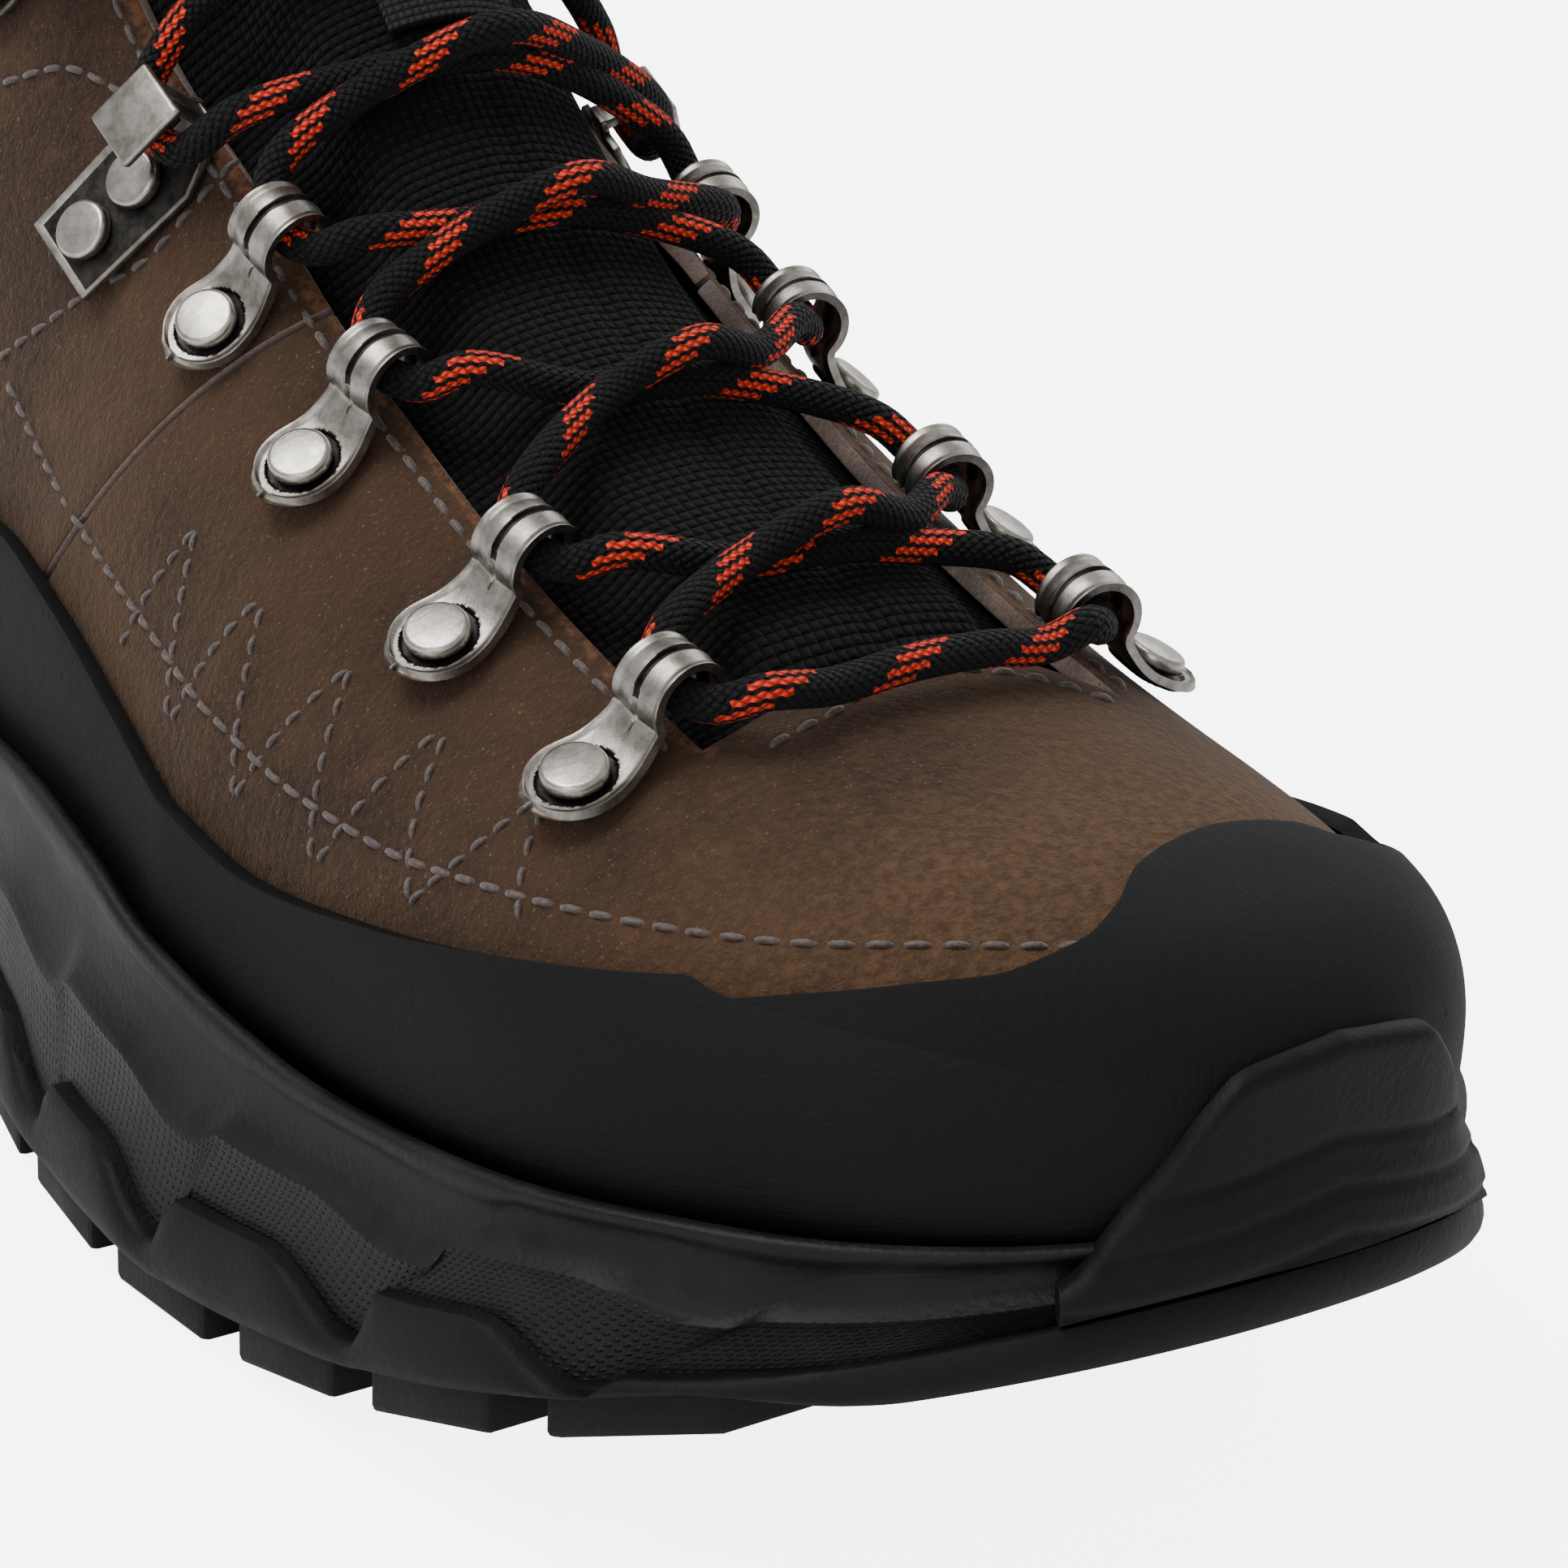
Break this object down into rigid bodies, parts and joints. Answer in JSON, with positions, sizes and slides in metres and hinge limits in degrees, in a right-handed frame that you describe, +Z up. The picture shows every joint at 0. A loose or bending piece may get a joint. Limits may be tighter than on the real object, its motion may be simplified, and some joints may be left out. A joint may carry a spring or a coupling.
{
  "type": "hiking boot",
  "caption": "Laced mid-height leather hiking boot for the right foot, with a rubber rand, lugged sole, riveted lace hooks and a padded tongue.",
  "frame": {"origin": "on the ground, at the flat face of the middle tread lug, mid-length of the sole", "axes": "+Z up, -Y towards the toe, +X towards the inner (big-toe) side of the right foot"},
  "size_m": [0.1105, 0.3074, 0.1918],
  "materials": {
    "nubuck": "oiled dark-brown nubuck, lighter where it is rubbed",
    "tread_rubber": "moulded, matt",
    "rand_rubber": "matt with fine lengthwise brushing",
    "midsole_foam": "dark grey, fine grain",
    "tongue_cloth": "coarse basket weave",
    "lining_cloth": "brushed",
    "foam": "soft",
    "board": "pressed fibre board",
    "shank_steel": "plain",
    "stiffener": "moulded sheet",
    "aglet_tip": "smooth",
    "gunmetal": "antique nickel, burnished",
    "webbing": "ribbed webbing",
    "lace_cord": "round braid with red tracer dashes"
  },
  "bodies": {
    "boot": {"aglet_inner": "aglet_tip", "aglet_outer": "aglet_tip", "bow_loop_inner": "lace_cord", "bow_loop_outer": "lace_cord", "collar_cuff": "nubuck", "collar_padding": "foam", "eyestay_inner": "nubuck", "eyestay_outer": "nubuck", "footbed": "foam", "heel_counter": "stiffener", "heel_strip": "nubuck", "insole_board": "board", "lace": "lace_cord", "lace_end_inner": "lace_cord", "lace_end_outer": "lace_cord", "lace_keeper": "webbing", "lace_knot": "lace_cord", "lining": "lining_cloth", "lock_hook_inner": "gunmetal", "lock_hook_outer": "gunmetal", "lock_rivet_inner_1": "gunmetal", "lock_rivet_inner_2": "gunmetal", "lock_rivet_outer_1": "gunmetal", "lock_rivet_outer_2": "gunmetal", "loop_hook_inner_1": "gunmetal", "loop_hook_inner_2": "gunmetal", "loop_hook_inner_3": "gunmetal", "loop_hook_inner_4": "gunmetal", "loop_hook_outer_1": "gunmetal", "loop_hook_outer_2": "gunmetal", "loop_hook_outer_3": "gunmetal", "loop_hook_outer_4": "gunmetal", "loop_rivet_inner_1": "gunmetal", "loop_rivet_inner_2": "gunmetal", "loop_rivet_inner_3": "gunmetal", "loop_rivet_inner_4": "gunmetal", "loop_rivet_outer_1": "gunmetal", "loop_rivet_outer_2": "gunmetal", "loop_rivet_outer_3": "gunmetal", "loop_rivet_outer_4": "gunmetal", "midsole": "midsole_foam", "open_hook_inner_1": "gunmetal", "open_hook_inner_2": "gunmetal", "open_hook_outer_1": "gunmetal", "open_hook_outer_2": "gunmetal", "open_rivet_inner_1": "gunmetal", "open_rivet_inner_2": "gunmetal", "open_rivet_outer_1": "gunmetal", "open_rivet_outer_2": "gunmetal", "outsole": "tread_rubber", "pull_loop_tab": "webbing", "quarter_inner": "nubuck", "quarter_outer": "nubuck", "rand": "rand_rubber", "shank": "shank_steel", "toe_bumper": "tread_rubber", "toe_puff": "stiffener", "tongue": "tongue_cloth", "vamp": "nubuck"},
    "pull_loop": {"pull_loop": "webbing"}
  },
  "joints": [
    {"name": "pull_loop_fold", "type": "hinge", "parent": "boot", "child": "pull_loop", "pos_m": [0, 0.14499, 0.14323], "axis": [-1, 0, 0], "range_deg": [0, 80]}
  ]
}
